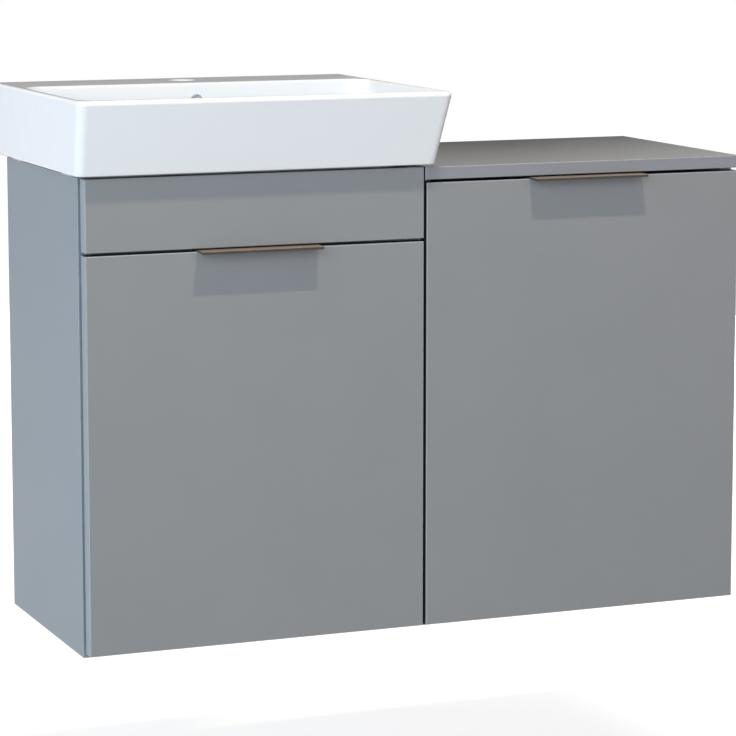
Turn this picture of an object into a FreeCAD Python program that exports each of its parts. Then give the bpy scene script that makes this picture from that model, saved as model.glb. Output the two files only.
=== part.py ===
import FreeCAD, Part
import math
import os

# Wall-hung vanity unit. X runs to the right with 0 where the two cabinets meet, Y is 0 at the wall and
# negative towards the room, Z is 0 at the underside of the cabinets. All sizes are in millimetres.

# Cabinets and fronts
cab_width = 450.0
cab_height = 598.0
cab_depth = 340.0
board = 16.0
front_thick = 19.0
front_edge_ease = 0.8
front_standoff = 5.0
front_reveal = 2.0
front_gap = 4.0
front_bottom = 6.0
fixed_panel_height = 90.0
back_inset = 20.0
back_thick = 3.0
groove_depth = 6.0
groove_play = 0.15
rear_rail_height = 90.0
upper_rail_drop = 108.0
bracket_sheet = 2.0
bracket_reach = 36.0
bracket_height = 36.0
bracket_rise = 12.0
bumper_size = 8.0
bumper_play = 0.3
bumper_drop = 30.0

# Basin
basin_side_over = 12.0
basin_side_flare = 7.0
basin_front_over = 10.0
basin_front_flare = 40.0
basin_height = 94.0
basin_corner = 12.0
basin_back_corner = 4.0
basin_rim_round = 4.5
basin_foot_round = 3.0
seat_gap = 4.0
seat_pad_length = 40.0
rim_side = 10.0
rim_front = 12.0
tap_ledge = 108.0
ledge_thick = 18.0
ledge_end_wall = 37.0
ledge_back_wall = 14.0
bowl_back_wall = 24.0
bowl_depth = 118.0
bowl_wall = 12.0
bowl_clear = 5.0
bowl_round = 28.0
bowl_back_lean = 14.0
hull_overlap = 6.0
tap_hole_radius = 17.5
tap_hole_from_wall = 50.0
waste_radius = 23.0
overflow_radius = 9.0
overflow_below_rim = 24.0
bolt_hole_radius = 7.0
bolt_hole_spacing = 280.0
bolt_hole_rise = 37.6

# Edge-pull handles
handle_length = 160.0
handle_reach = 20.0
handle_sheet = 2.0
handle_flange = 22.0
handle_lip = 3.5
handle_bend = 0.9

# Drawer and its telescopic slides
drawer_side_height = 200.0
drawer_side_thick = 12.0
drawer_back_clear = 9.0
drawer_lift = 14.0
drawer_bottom_thick = 6.0
drawer_bottom_rise = 10.0
slide_height = 45.0
slide_width = 12.7
slide_sheet = 1.2
slide_nest = 0.8
slide_flange_short = 2.5
slide_rise = 50.0
slide_front_set = 3.0
slide_back_clear = 7.0
race_height = 3.4
strip_play = 0.1
strip_width = 3.6
strip_length = 81.0

# Laundry front: piano hinge, quadrant stays and bin
pin_radius = 1.2
pin_clear = 0.05
knuckle_pairs = 4
knuckle_play = 0.3
knuckle_drop = 0.5
hinge_end_gap = 16.0
leaf_sheet = 1.0
moving_leaf_height = 22.0
fixed_leaf_height = 9.0
tilt_limit = 35.0
stay_radius = 170.0
stay_half_width = 11.0
stay_sheet = 2.0
stay_inset = 6.0
stay_start = 8.0
stay_tail = 6.0
stay_foot_width = 20.0
stay_foot_height = 60.0
stop_pin_radius = 3.0
stop_pin_bite = 10.0
stop_pin_head = 2.0
stop_pin_head_radius = 5.4
slot_clear = 0.3
bin_side_clear = 30.0
bin_back_clear = 37.0
bin_floor_lift = 16.0
bin_headroom = 82.0
bin_side_draft = 20.0
bin_back_draft = 50.0
bin_wall = 2.5
bin_rim = 8.0
bin_rim_thick = 3.0
bin_corner = 30.0
bin_front_corner = 7.5
airing_columns = 5
airing_start = 42.0
airing_pitch = 32.0
airing_width = 6.0
airing_height = 110.0
airing_rows = (140.0, 280.0)

# Joinery and hanging
joint_inset = 48.0
drill_clear = 0.1
sleeve_radius = 4.0
sleeve_head_radius = 7.0
sleeve_head = 2.0
sleeve_drop = 180.0
hanger_thick = 16.0
hanger_depth = 42.0
hanger_height = 54.0
hanger_slope = 16.0
hanger_cover = 3.0
hanger_back_gap = 1.0
hook_sheet = 2.5
hook_side = 2.4
hook_root = 8.0
hook_play = 0.3
hook_drop = 15.0
notch_clear = 4.0
notch_drop = 13.0
wall_rail_drop = 38.0
wall_rail_height = 44.0
wall_rail_step = 22.0
wall_rail_sheet = 2.0
wall_rail_offset = 7.0
wall_rail_end_gap = 6.0
wall_rail_hole_radius = 4.25
wall_rail_spacing = 288.0

# Planes and centres that follow from the sizes above
carcass_front = -(cab_depth - front_thick - front_standoff)
front_back = -(cab_depth - front_thick)
front_face = -cab_depth
back_panel_front = -back_inset - back_thick
inner_width = cab_width - 2 * board
left_centre = -cab_width / 2
right_centre = cab_width / 2
left_inside = (-cab_width + board, -board)
right_inside = (board, cab_width - board)
front_row = carcass_front + joint_inset
back_row = -joint_inset
drawer_front_top = cab_height - fixed_panel_height - front_gap
flap_top = cab_height - board - front_gap
basin_z = cab_height + seat_gap
rim_z = basin_z + basin_height
knuckle_radius = front_standoff / 2
hinge_y = (front_back + carcass_front) / 2
hinge_z = front_bottom - knuckle_radius - knuckle_drop
wall_rail_top = cab_height - wall_rail_drop

ALONG_X = FreeCAD.Vector(1, 0, 0)
ALONG_Y = FreeCAD.Vector(0, 1, 0)
ALONG_Z = FreeCAD.Vector(0, 0, 1)

os.makedirs("parts", exist_ok=True)


def point(x, y, z):
    return FreeCAD.Vector(x, y, z)


def span(centre, width):
    """The low and high end of a width about a centre."""
    return (centre - width / 2, centre + width / 2)


def off_face(face, sign, near, far):
    """The low and high end of a stretch that is measured off a face, to the side that sign gives."""
    return tuple(sorted((face + sign * near, face + sign * far)))


def box(x, y, z):
    """A block between three pairs of low and high coordinates."""
    return Part.makeBox(x[1] - x[0], y[1] - y[0], z[1] - z[0], point(x[0], y[0], z[0]))


def rod(start, along, length, radius):
    return Part.makeCylinder(radius, length, start, along)


def cut(solid, tools):
    """A solid less each tool in turn."""
    for tool in tools:
        solid = solid.cut(tool)
    return solid


def fuse(solids):
    return solids[0].multiFuse(solids[1:]).removeSplitter()


def plate(points, along):
    """A flat outline pushed along a vector."""
    return Part.Face(Part.makePolygon(points + points[:1])).extrude(along)


def ring_wire(x, y, z, front_round, back_round):
    """A level rectangle with rounded corners; the front corners lie at the low end of y."""
    (x0, x1), (y0, y1) = x, y
    f, b, k = front_round, back_round, 1 - math.sqrt(0.5)
    corners = [
        (point(x1 - f, y0, z), point(x1 - f * k, y0 + f * k, z), point(x1, y0 + f, z)),
        (point(x1, y1 - b, z), point(x1 - b * k, y1 - b * k, z), point(x1 - b, y1, z)),
        (point(x0 + b, y1, z), point(x0 + b * k, y1 - b * k, z), point(x0, y1 - b, z)),
        (point(x0, y0 + f, z), point(x0 + f * k, y0 + f * k, z), point(x0 + f, y0, z)),
    ]
    edges = []
    for i, (start, middle, end) in enumerate(corners):
        edges.append(Part.Arc(start, middle, end).toShape())
        edges.append(Part.makeLine(end, corners[(i + 1) % 4][0]))
    return Part.Wire(edges)


def tapered_block(low, high):
    """A block with flat faces between two level rectangles, each given as (x, y, z)."""
    ways = ((0, 0), (1, 0), (1, 1), (0, 1))
    rings = [[point(x[i], y[j], z) for i, j in ways] for x, y, z in (low, high)]
    outlines = [rings[0][::-1], rings[1]]
    for i in range(4):
        j = (i + 1) % 4
        outlines.append([rings[0][i], rings[0][j], rings[1][j], rings[1][i]])
    faces = [Part.Face(Part.makePolygon(points + points[:1])) for points in outlines]
    return Part.makeSolid(Part.makeShell(faces))


def rounded(solid, radius, wanted):
    """A solid with those of its edges rounded that pass a test."""
    return solid.makeFillet(radius, [e for e in solid.Edges if wanted(e)])


def upright_rounded(solid, front_round, back_round):
    """A block with its upright edges rounded, those at the front apart from those at the back."""
    middle = solid.BoundBox.Center.y
    eased = rounded(solid, front_round, lambda e: e.BoundBox.ZLength > 1 and e.CenterOfMass.y < middle)
    return rounded(eased, back_round, lambda e: e.BoundBox.ZLength > 1 and e.CenterOfMass.y > middle)


def save(name, *solids):
    """Write one piece; a repeated piece is kept as a group of its own solids."""
    shape = solids[0] if len(solids) == 1 else Part.makeCompound(list(solids))
    shape.exportStep(f"parts/{name}.step")
    print(name, len(shape.Solids), "solid(s)", round(shape.Volume / 1000, 1), "cm3", shape.isValid())


# Boards with eased edges on the room side: the three fronts and the worktop.
def eased_board(x, y, z):
    slab = box(x, y, z)
    edges = [e for e in slab.Edges if all(abs(v.Y - y[0]) < 1e-6 for v in e.Vertexes)]
    return slab.makeChamfer(front_edge_ease, edges)


front_y = (front_face, front_back)
left_front_x = (-cab_width + front_reveal, -front_reveal)
right_front_x = (front_reveal, cab_width - front_reveal)
save("drawer_front", eased_board(left_front_x, front_y, (front_bottom, drawer_front_top)))
save("fixed_front_panel", eased_board(left_front_x, front_y, (cab_height - fixed_panel_height, cab_height)))
save("laundry_front", eased_board(right_front_x, front_y, (front_bottom, flap_top)))
save("worktop", eased_board((0, cab_width), (front_face, 0), (cab_height - board, cab_height)))

# Carcass boards, before they are drilled. The sides reach the wall, and the rear rails and the back panel
# stand in front of the wall rails.
full_depth = (carcass_front, 0)
rear_rail_y = (-back_inset - board, -back_inset)
upper_rail_z = cab_height - upper_rail_drop - rear_rail_height
boards = {
    "left_side_outer": box((-cab_width, -cab_width + board), full_depth, (0, cab_height)),
    "left_side_inner": box((-board, 0), full_depth, (0, cab_height)),
    "left_bottom_panel": box(left_inside, full_depth, (0, board)),
    "left_rear_rail_upper": box(left_inside, rear_rail_y, (upper_rail_z, upper_rail_z + rear_rail_height)),
    "left_rear_rail_lower": box(left_inside, rear_rail_y, (board, board + rear_rail_height)),
    "right_side_inner": box((0, board), full_depth, (0, cab_height - board)),
    "right_side_outer": box((cab_width - board, cab_width), full_depth, (0, cab_height - board)),
    "right_bottom_panel": box(right_inside, full_depth, (0, board)),
}
drillings = {name: [] for name in boards}

# Sleeves clamp the two inner sides together; a six-sided head lies on each inside face.
sleeves = []
sleeve_z = cab_height - sleeve_drop
for y in (front_row, back_row):
    pieces = [rod(point(-board, y, sleeve_z), ALONG_X, 2 * board, sleeve_radius)]
    for x in (-board - sleeve_head, board):
        corners = []
        for turn in (math.radians(60 * i) for i in range(6)):
            across, up = sleeve_head_radius * math.cos(turn), sleeve_head_radius * math.sin(turn)
            corners.append(point(x, y + across, sleeve_z + up))
        pieces.append(plate(corners, ALONG_X * sleeve_head))
    sleeves.append(fuse(pieces))
    hole = rod(point(-board, y, sleeve_z), ALONG_X, 2 * board, sleeve_radius + drill_clear)
    for name in ("left_side_inner", "right_side_inner"):
        drillings[name].append(hole)
save("cabinet_connector_sleeves", *sleeves)

# The thin back of the laundry cabinet stands in grooves and is notched for the hook arms.
groove_y = (back_panel_front - groove_play, -back_inset + groove_play)
groove_start = board - groove_depth
groove = box((groove_start, cab_width - groove_start), groove_y, (groove_start, cab_height - board))
for name in ("right_side_inner", "right_side_outer", "right_bottom_panel"):
    drillings[name].append(groove)
panel_start = groove_start + groove_play
back_panel = box(
    (panel_start, cab_width - panel_start),
    (back_panel_front, -back_inset),
    (panel_start, cab_height - board),
)
notch_z = (wall_rail_top - notch_drop, cab_height - board)
notch_width = board + hanger_thick + notch_clear
notches = [box(x, groove_y, notch_z) for x in ((0, notch_width), (cab_width - notch_width, cab_width))]
save("right_back_panel", cut(back_panel, notches))

# Square bumper pads on the front edges of the sides, just clear of the closed fronts.
bumpers = []
bumper_y = (front_back + bumper_play, carcass_front)
corners = [(-cab_width + board / 2, drawer_front_top), (-board / 2, drawer_front_top)]
corners += [(board / 2, flap_top), (cab_width - board / 2, flap_top)]
for x, top in corners:
    bumpers.append(box(span(x, bumper_size), bumper_y, span(top - bumper_drop, bumper_size)))
save("front_bumpers", *bumpers)

# Two steel angles hold the fixed panel off the sides.
brackets = []
bracket_z = cab_height - fixed_panel_height + bracket_rise
bracket_back = carcass_front + bracket_reach
for x, sign in ((left_inside[0], 1), (left_inside[1], -1)):
    inner, end = x + sign * bracket_sheet, x + sign * bracket_reach
    outline = [
        (x, front_back),
        (end, front_back),
        (end, front_back + bracket_sheet),
        (inner, front_back + bracket_sheet),
        (inner, bracket_back),
        (x, bracket_back),
    ]
    brackets.append(plate([point(a, b, bracket_z) for a, b in outline], ALONG_Z * bracket_height))
save("fixed_panel_brackets", *brackets)

# Basin: a skirt that flares towards the rim, a bowl that dips into the cabinet and a hollow tap ledge.
# A level of the bowl is its depth below the rim, its half width, and where its front and back lie. The
# walls run straight from the rim past the neck, where they clear the cabinet's boards, to the floor.
foot_half = cab_width / 2 + basin_side_over
rim_half = foot_half + basin_side_flare
foot_front = front_face - basin_front_over
rim_front_y = foot_front - basin_front_flare
neck_depth = rim_z - cab_height
neck_half = inner_width / 2 - bowl_clear - bowl_wall
neck_front = front_back + bowl_clear + bowl_wall
rim_level = (rim_half - rim_side, rim_front_y + rim_front, -tap_ledge)
neck_level = (neck_half, neck_front, -tap_ledge - bowl_back_lean)


def bowl_level(depth):
    """Half width, front and back of the bowl at a depth below the rim, as a rate between rim and neck."""
    return [a + (b - a) * depth / neck_depth for a, b in zip(rim_level, neck_level)]


def bowl_rectangle(depth, grow):
    half, front, back = bowl_level(depth)
    return (span(left_centre, 2 * (half + grow)), (front - grow, back + grow), rim_z - depth)


bowl_block = tapered_block(bowl_rectangle(bowl_depth, 0), bowl_rectangle(0, 0))
bowl = rounded(bowl_block, bowl_round, lambda e: e.CenterOfMass.z < rim_z - 1)
hull_block = tapered_block(
    bowl_rectangle(bowl_depth + bowl_wall, bowl_wall),
    bowl_rectangle(basin_height - hull_overlap, bowl_wall),
)
bowl_hull = upright_rounded(hull_block, bowl_round + bowl_wall, bowl_round + bowl_wall)
skirt_block = tapered_block(
    (span(left_centre, 2 * foot_half), (foot_front, 0), basin_z),
    (span(left_centre, 2 * rim_half), (rim_front_y, 0), rim_z),
)
skirt = upright_rounded(skirt_block, basin_corner, basin_back_corner)
skirt = rounded(skirt, basin_foot_round, lambda e: e.BoundBox.ZMax < basin_z + 1 and e.CenterOfMass.y < -1)
ledge_hollow = box(
    span(left_centre, 2 * (foot_half - ledge_end_wall)),
    (-tap_ledge + bowl_back_wall, -ledge_back_wall),
    (basin_z, rim_z - ledge_thick),
)
waste_y = sum(bowl_level(bowl_depth)[1:]) / 2
overflow_y = bowl_level(bowl_depth)[2]
overflow_length = bowl_back_wall / 2 - tap_ledge - overflow_y
basin_holes = [
    rod(point(left_centre, -tap_hole_from_wall, rim_z - ledge_thick), ALONG_Z, ledge_thick, tap_hole_radius),
    rod(point(left_centre, waste_y, rim_z - bowl_depth - bowl_wall), ALONG_Z, bowl_wall, waste_radius),
]
overflow_start = point(left_centre, overflow_y, rim_z - overflow_below_rim)
basin_holes.append(rod(overflow_start, ALONG_Y, overflow_length, overflow_radius))
for x in span(left_centre, bolt_hole_spacing):
    start = point(x, -ledge_back_wall, basin_z + bolt_hole_rise)
    basin_holes.append(rod(start, ALONG_Y, ledge_back_wall, bolt_hole_radius))
basin = cut(fuse([skirt, bowl_hull]), [bowl, ledge_hollow] + basin_holes)
rim_edges = [e for e in basin.Edges if all(abs(v.Z - rim_z) < 1e-6 for v in e.Vertexes)]
eased = [e for e in rim_edges if e.CenterOfMass.y < -1 and not e.isClosed()]
save("basin", basin.makeFillet(basin_rim_round, eased))

# Seat pads on the top edges of the basin cabinet leave a shadow gap under the skirt.
pads = []
for x in ((-cab_width, -cab_width + board), (-board, 0)):
    for y in (front_row, back_row):
        pads.append(box(x, span(y, seat_pad_length), (cab_height, basin_z)))
save("basin_seat_pads", *pads)


# Edge-pull handle: a bent strip that hooks over the top edge of a front, with a flange on its back.
def handle(centre, top):
    s, tip = handle_sheet, front_face - handle_reach
    profile = [
        (front_back + s, top - handle_flange),
        (front_back + s, top + s),
        (tip, top + s),
        (tip, top + s - handle_lip),
        (tip + s, top + s - handle_lip),
        (tip + s, top),
        (front_back, top),
        (front_back, top - handle_flange),
    ]
    x0 = centre - handle_length / 2
    strip = plate([point(x0, y, z) for y, z in profile], ALONG_X * handle_length)
    high = [e for e in strip.Edges if all(v.Z > top + s - 1e-6 for v in e.Vertexes)]
    bent = [e for e in high if abs(e.Vertexes[0].X - e.Vertexes[1].X) > 1]
    return strip.makeFillet(handle_bend, bent)


save("drawer_handle", handle(left_centre, drawer_front_top))
save("laundry_handle", handle(right_centre, flap_top))

# Drawer: a box of boards behind the tall front, carried at the sides by telescopic slides.
drawer_x = (left_inside[0] + slide_width, left_inside[1] - slide_width)
drawer_y = (front_back, rear_rail_y[0] - drawer_back_clear)
drawer_z = (board + drawer_lift, board + drawer_lift + drawer_side_height)
wall = drawer_side_thick
between = (drawer_x[0] + wall, drawer_x[1] - wall)
drawer_boards = {
    "drawer_side_left": box((drawer_x[0], between[0]), drawer_y, drawer_z),
    "drawer_side_right": box((between[1], drawer_x[1]), drawer_y, drawer_z),
    "drawer_sub_front": box(between, (drawer_y[0], drawer_y[0] + wall), drawer_z),
    "drawer_back": box(between, (drawer_y[1] - wall, drawer_y[1]), drawer_z),
}
panel_z = drawer_z[0] + drawer_bottom_rise


def drawer_panel(play):
    """The bottom panel that stands in grooves half as deep as the walls; play makes the grooves wider."""
    into = wall / 2 + play
    x = (between[0] - into, between[1] + into)
    y = (drawer_y[0] + wall - into, drawer_y[1] - wall + into)
    return box(x, y, (panel_z - play, panel_z + drawer_bottom_thick + play))


save("drawer_bottom_panel", drawer_panel(0))
for name, solid in drawer_boards.items():
    save(name, solid.cut(drawer_panel(groove_play)))

# Slide members are channels nested inside each other, with bearing strips between their flanges.
slide_y = (carcass_front + slide_front_set, rear_rail_y[0] - slide_back_clear)
slide_z = drawer_z[0] + slide_rise
nest = slide_sheet + slide_nest
flange_end = slide_width - slide_flange_short
outer_half = slide_height / 2
middle_half = outer_half - slide_sheet - race_height
drawer_half = middle_half - slide_sheet - race_height


def channel(face_x, sign, root, tip, half):
    """A channel along the slide, from its web to its flange tips, as distances off the cabinet's side."""
    s = slide_sheet if tip > root else -slide_sheet
    profile = [
        (tip, half),
        (root, half),
        (root, -half),
        (tip, -half),
        (tip, -half + slide_sheet),
        (root + s, -half + slide_sheet),
        (root + s, half - slide_sheet),
        (tip, half - slide_sheet),
    ]
    corners = [point(face_x + sign * x, slide_y[0], slide_z + z) for x, z in profile]
    return plate(corners, ALONG_Y * (slide_y[1] - slide_y[0]))


strips = []
strip_y = span(sum(slide_y) / 2, strip_length)
for name, face_x, sign in (("left", left_inside[0], 1), ("right", left_inside[1], -1)):
    save(f"slide_cabinet_member_{name}", channel(face_x, sign, 0, flange_end, outer_half))
    save(f"slide_middle_member_{name}", channel(face_x, sign, nest, flange_end, middle_half))
    save(f"slide_drawer_member_{name}", channel(face_x, sign, slide_width, 2 * nest, drawer_half))
    strip_x = span(face_x + sign * (nest + slide_width) / 2, strip_width)
    for half in (middle_half, drawer_half):
        for way in (1, -1):
            strip_z = span(slide_z + way * (half + race_height / 2), race_height - 2 * strip_play)
            strips.append(box(strip_x, strip_y, strip_z))
save("slide_bearing_strips", *strips)

# Laundry front: a piano hinge whose knuckles alternate between the two leaves.
hinge_x = (right_inside[0] + hinge_end_gap, right_inside[1] - hinge_end_gap)
knuckle_pitch = (hinge_x[1] - hinge_x[0]) / (2 * knuckle_pairs)


def hinge_leaf(back, height, first):
    """A leaf whose flat back lies at one depth, with every second knuckle counted from the first."""
    pieces = [box(hinge_x, back, (front_bottom, front_bottom + height))]
    for i in range(first, 2 * knuckle_pairs, 2):
        x = hinge_x[0] + i * knuckle_pitch + knuckle_play / 2
        pieces.append(rod(point(x, hinge_y, hinge_z), ALONG_X, knuckle_pitch - knuckle_play, knuckle_radius))
        pieces.append(box((x, x + knuckle_pitch - knuckle_play), back, (hinge_z, front_bottom)))
    start = point(hinge_x[0], hinge_y, hinge_z)
    bore = rod(start, ALONG_X, hinge_x[1] - hinge_x[0], pin_radius + pin_clear)
    return fuse(pieces).cut(bore)


save("hinge_leaf_moving", hinge_leaf((front_back, front_back + leaf_sheet), moving_leaf_height, 0))
save("hinge_leaf_fixed", hinge_leaf((carcass_front - leaf_sheet, carcass_front), fixed_leaf_height, 1))
save("hinge_pin", rod(point(hinge_x[0], hinge_y, hinge_z), ALONG_X, hinge_x[1] - hinge_x[0], pin_radius))


# Quadrant stays: a curved slot about the hinge line runs on a stop pin in the cabinet's side.
def about_hinge(x, radius, degrees):
    turn = math.radians(degrees)
    return point(x, hinge_y + radius * math.sin(turn), hinge_z + radius * math.cos(turn))


def sector(x, half_width, start, end):
    """A curved strip about the hinge line between two angles, measured inwards from upright."""
    inside, outside = stay_radius - half_width, stay_radius + half_width
    middle = (start + end) / 2
    far = Part.Arc(*[about_hinge(x[0], outside, a) for a in (start, middle, end)]).toShape()
    near = Part.Arc(*[about_hinge(x[0], inside, a) for a in (end, middle, start)]).toShape()
    caps = [
        Part.makeLine(about_hinge(x[0], outside, end), about_hinge(x[0], inside, end)),
        Part.makeLine(about_hinge(x[0], inside, start), about_hinge(x[0], outside, start)),
    ]
    return Part.Face(Part.Wire([far, caps[0], near, caps[1]])).extrude(ALONG_X * (x[1] - x[0]))


slot_half = stop_pin_radius + slot_clear
stay_end = stay_start + tilt_limit
stay_z = hinge_z + stay_radius
stop_pins = []
for name, face_x, sign in (("inner", right_inside[0], 1), ("outer", right_inside[1], -1)):
    x = off_face(face_x, sign, stay_inset, stay_inset + stay_sheet)
    foot_x = off_face(face_x, sign, stay_inset, stay_inset + stay_foot_width)
    foot = box(foot_x, (front_back, front_back + stay_sheet), span(stay_z, stay_foot_height))
    root = box(x, (front_back, carcass_front), span(stay_z, 2 * stay_half_width))
    slot = [sector(x, slot_half, stay_start, stay_end)]
    for angle in (stay_start, stay_end):
        slot.append(rod(about_hinge(x[0], stay_radius, angle), ALONG_X, stay_sheet, slot_half))
    arm = fuse([sector(x, stay_half_width, 0, stay_end + stay_tail), root, foot])
    save(f"stay_{name}", cut(arm, slot))
    inward = ALONG_X * sign
    start = about_hinge(face_x, stay_radius, stay_start) - inward * stop_pin_bite
    reach = stop_pin_bite + stay_inset + stay_sheet + slot_clear
    pin = rod(start, inward, reach, stop_pin_radius)
    stop_pins.append(fuse([pin, rod(start + inward * reach, inward, stop_pin_head, stop_pin_head_radius)]))
    drillings[f"right_side_{name}"].append(rod(start, inward, stop_pin_bite, stop_pin_radius + drill_clear))
save("stay_stop_pins", *stop_pins)

# Laundry bin: a tapered shell with a turned-out rim and airing slots, on the back of the front.
bin_width = inner_width - 2 * bin_side_clear
bin_back = back_panel_front - bin_back_clear
bin_floor_z = board + bin_floor_lift
bin_top = cab_height - board - bin_headroom


def bin_block(inset):
    """The bin's tapered outline, or its hollow where it is taken in by the wall thickness."""
    floor_x = span(right_centre, bin_width - 2 * bin_side_draft - 2 * inset)
    floor_y = (front_back + inset, bin_back - bin_back_draft - inset)
    top_x = span(right_centre, bin_width - 2 * inset)
    top_y = (front_back + inset, bin_back - inset)
    block = tapered_block((floor_x, floor_y, bin_floor_z + inset), (top_x, top_y, bin_top))
    return upright_rounded(block, bin_front_corner - inset, bin_corner - inset)


rim_x = span(right_centre, bin_width + 2 * bin_rim)
rim_y = (front_back, bin_back + bin_rim)
rim_wire = ring_wire(rim_x, rim_y, bin_top - bin_rim_thick, bin_front_corner, bin_corner + bin_rim)
rim = Part.Face(rim_wire).extrude(ALONG_Z * bin_rim_thick)
airing = []
for i in range(airing_columns):
    y = front_back + airing_start + i * airing_pitch
    for row in airing_rows:
        z = (bin_floor_z + row, bin_floor_z + row + airing_height)
        airing.append(box(span(right_centre, bin_width), span(y, airing_width), z))
save("laundry_bin", cut(fuse([bin_block(0), rim]), [bin_block(bin_wall)] + airing))

# Hanging: housings on the insides of the sides send hook arms over rails screwed to the wall.
hanger_back = back_panel_front - hanger_back_gap
hanger_front = hanger_back - hanger_depth
hook_bottom = wall_rail_top + hook_play
hook_top = hook_bottom + hook_sheet
hook_root_y = hanger_back - hook_root
tip_front = -wall_rail_offset + hook_play
tip_back = tip_front + hook_sheet
housing_top = hook_top + hanger_cover
housing_bottom = housing_top - hanger_height
housing_outline = [
    (hanger_back, housing_bottom),
    (hanger_back, housing_top),
    (hanger_front, housing_top),
    (hanger_front, housing_bottom + hanger_slope),
    (hanger_front + hanger_slope, housing_bottom),
]
hook_outline = [
    (hook_root_y, hook_bottom),
    (tip_front, hook_bottom),
    (tip_front, wall_rail_top - hook_drop),
    (tip_back, wall_rail_top - hook_drop),
    (tip_back, hook_top),
    (hook_root_y, hook_top),
]
housings, hooks = [], []
for face_x, sign in [(x, sign) for pair in (left_inside, right_inside) for x, sign in zip(pair, (1, -1))]:
    block_x = off_face(face_x, sign, 0, hanger_thick)
    arm_x = off_face(face_x, sign, hook_side, hanger_thick - hook_side)
    block = plate([point(block_x[0], y, z) for y, z in housing_outline], ALONG_X * hanger_thick)
    pocket = box(
        (arm_x[0] - drill_clear, arm_x[1] + drill_clear),
        (hook_root_y - drill_clear, hanger_back),
        (hook_bottom - drill_clear, hook_top + drill_clear),
    )
    housings.append(block.cut(pocket))
    hooks.append(plate([point(arm_x[0], y, z) for y, z in hook_outline], ALONG_X * (arm_x[1] - arm_x[0])))
save("hanger_housings", *housings)
save("hanger_hooks", *hooks)

# Wall rails: a stepped strip whose upper half stands off the wall for the hooks.
step_z = wall_rail_top - wall_rail_step
low_z = wall_rail_top - wall_rail_height
s, out = wall_rail_sheet, -wall_rail_offset
rail_outline = [
    (0, low_z),
    (0, step_z + s),
    (out, step_z + s),
    (out, wall_rail_top),
    (out - s, wall_rail_top),
    (out - s, step_z),
    (-s, step_z),
    (-s, low_z),
]
for name, inside, centre in (("left", left_inside, left_centre), ("right", right_inside, right_centre)):
    start, end = inside[0] + wall_rail_end_gap, inside[1] - wall_rail_end_gap
    rail = plate([point(start, y, z) for y, z in rail_outline], ALONG_X * (end - start))
    holes = [
        rod(point(x, -s, (low_z + step_z) / 2), ALONG_Y, s, wall_rail_hole_radius)
        for x in span(centre, wall_rail_spacing)
    ]
    save(f"wall_rail_{name}", cut(rail, holes))

# The boards, drilled and grooved.
for name, solid in boards.items():
    save(name, cut(solid, drillings[name]))
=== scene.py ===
# %% [markdown]
# # A wall-hung vanity in two cabinets
# The left cabinet has a deep drawer and carries a glazed ceramic basin. The right one has a tilting laundry
# front and a worktop. The solids come ready made, so this lesson dresses them: it sets the camera and the
# light, makes the finishes as node materials, and adds the small fittings that are too fine for the solids.

import bmesh
import bpy
import numpy as np
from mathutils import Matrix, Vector


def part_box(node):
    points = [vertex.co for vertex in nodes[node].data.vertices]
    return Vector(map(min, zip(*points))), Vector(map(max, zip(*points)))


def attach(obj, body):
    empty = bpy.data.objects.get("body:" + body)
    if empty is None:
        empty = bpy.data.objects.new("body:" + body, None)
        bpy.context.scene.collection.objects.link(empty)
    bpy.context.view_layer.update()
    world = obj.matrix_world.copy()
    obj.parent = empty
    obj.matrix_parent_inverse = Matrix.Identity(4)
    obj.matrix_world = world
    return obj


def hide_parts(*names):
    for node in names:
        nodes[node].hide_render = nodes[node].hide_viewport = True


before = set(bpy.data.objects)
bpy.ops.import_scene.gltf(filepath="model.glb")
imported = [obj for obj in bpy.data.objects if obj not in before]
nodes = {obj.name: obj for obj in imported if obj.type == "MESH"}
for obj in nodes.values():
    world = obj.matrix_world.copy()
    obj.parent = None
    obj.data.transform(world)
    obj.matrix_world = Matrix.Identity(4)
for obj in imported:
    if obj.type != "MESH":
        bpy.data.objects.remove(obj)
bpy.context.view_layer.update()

scene = bpy.context.scene

# %% [markdown]
# ## The viewpoint
# The unit is seen from its left front, a little above the basin, through a long lens. The place, turn and
# tilt of the camera were solved from the corners of the boards and the basin. A small downward shift of the
# picture keeps the upright edges nearly parallel, as a furniture photographer would do with a shift lens.

# %% The camera
EYE = Vector((-1.5307, -3.9093, 0.9543))
TURN, DIP = np.radians(22.14), np.radians(8.285)
SENSOR_MM, FOCAL_MM, SHIFT = 36, 151.0, -0.05
NEAR_EDGE = Vector((-0.45, -0.34, 0.3))

lens = bpy.data.cameras.new("camera")
lens.sensor_width = SENSOR_MM
lens.lens = FOCAL_MM
lens.shift_y = SHIFT
camera = bpy.data.objects.new("camera", lens)
sight = Vector((np.sin(TURN) * np.cos(DIP), np.cos(TURN) * np.cos(DIP), -np.sin(DIP)))
camera.location = EYE
camera.rotation_euler = sight.to_track_quat("-Z", "Y").to_euler()
scene.collection.objects.link(camera)
scene.camera = camera
scene.view_settings.view_transform = "Standard"
print("camera to the nearest front edge:", round((NEAR_EDGE - EYE).length, 2), "m")

# %% [markdown]
# ## Helpers for node trees
# A finish is a small network of nodes. A few helpers keep the networks short to write: one adds a node with
# its values and links, and the next ones give the outputs of the kinds of node that come up most.


# %% Adding nodes
def fill(tree, node, inputs):
    """Gives each input of a node its value, or a link where the value is another node's socket."""
    for name, value in inputs.items():
        if isinstance(value, bpy.types.NodeSocket):
            tree.links.new(value, node.inputs[name])
        else:
            node.inputs[name].default_value = value


def add(tree, kind, inputs=None, **settings):
    """A node of this kind: settings go on the node itself, and inputs on its sockets."""
    node = tree.nodes.new("ShaderNode" + kind)
    for name, value in settings.items():
        setattr(node, name, value)
    fill(tree, node, inputs or {})
    return node


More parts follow.
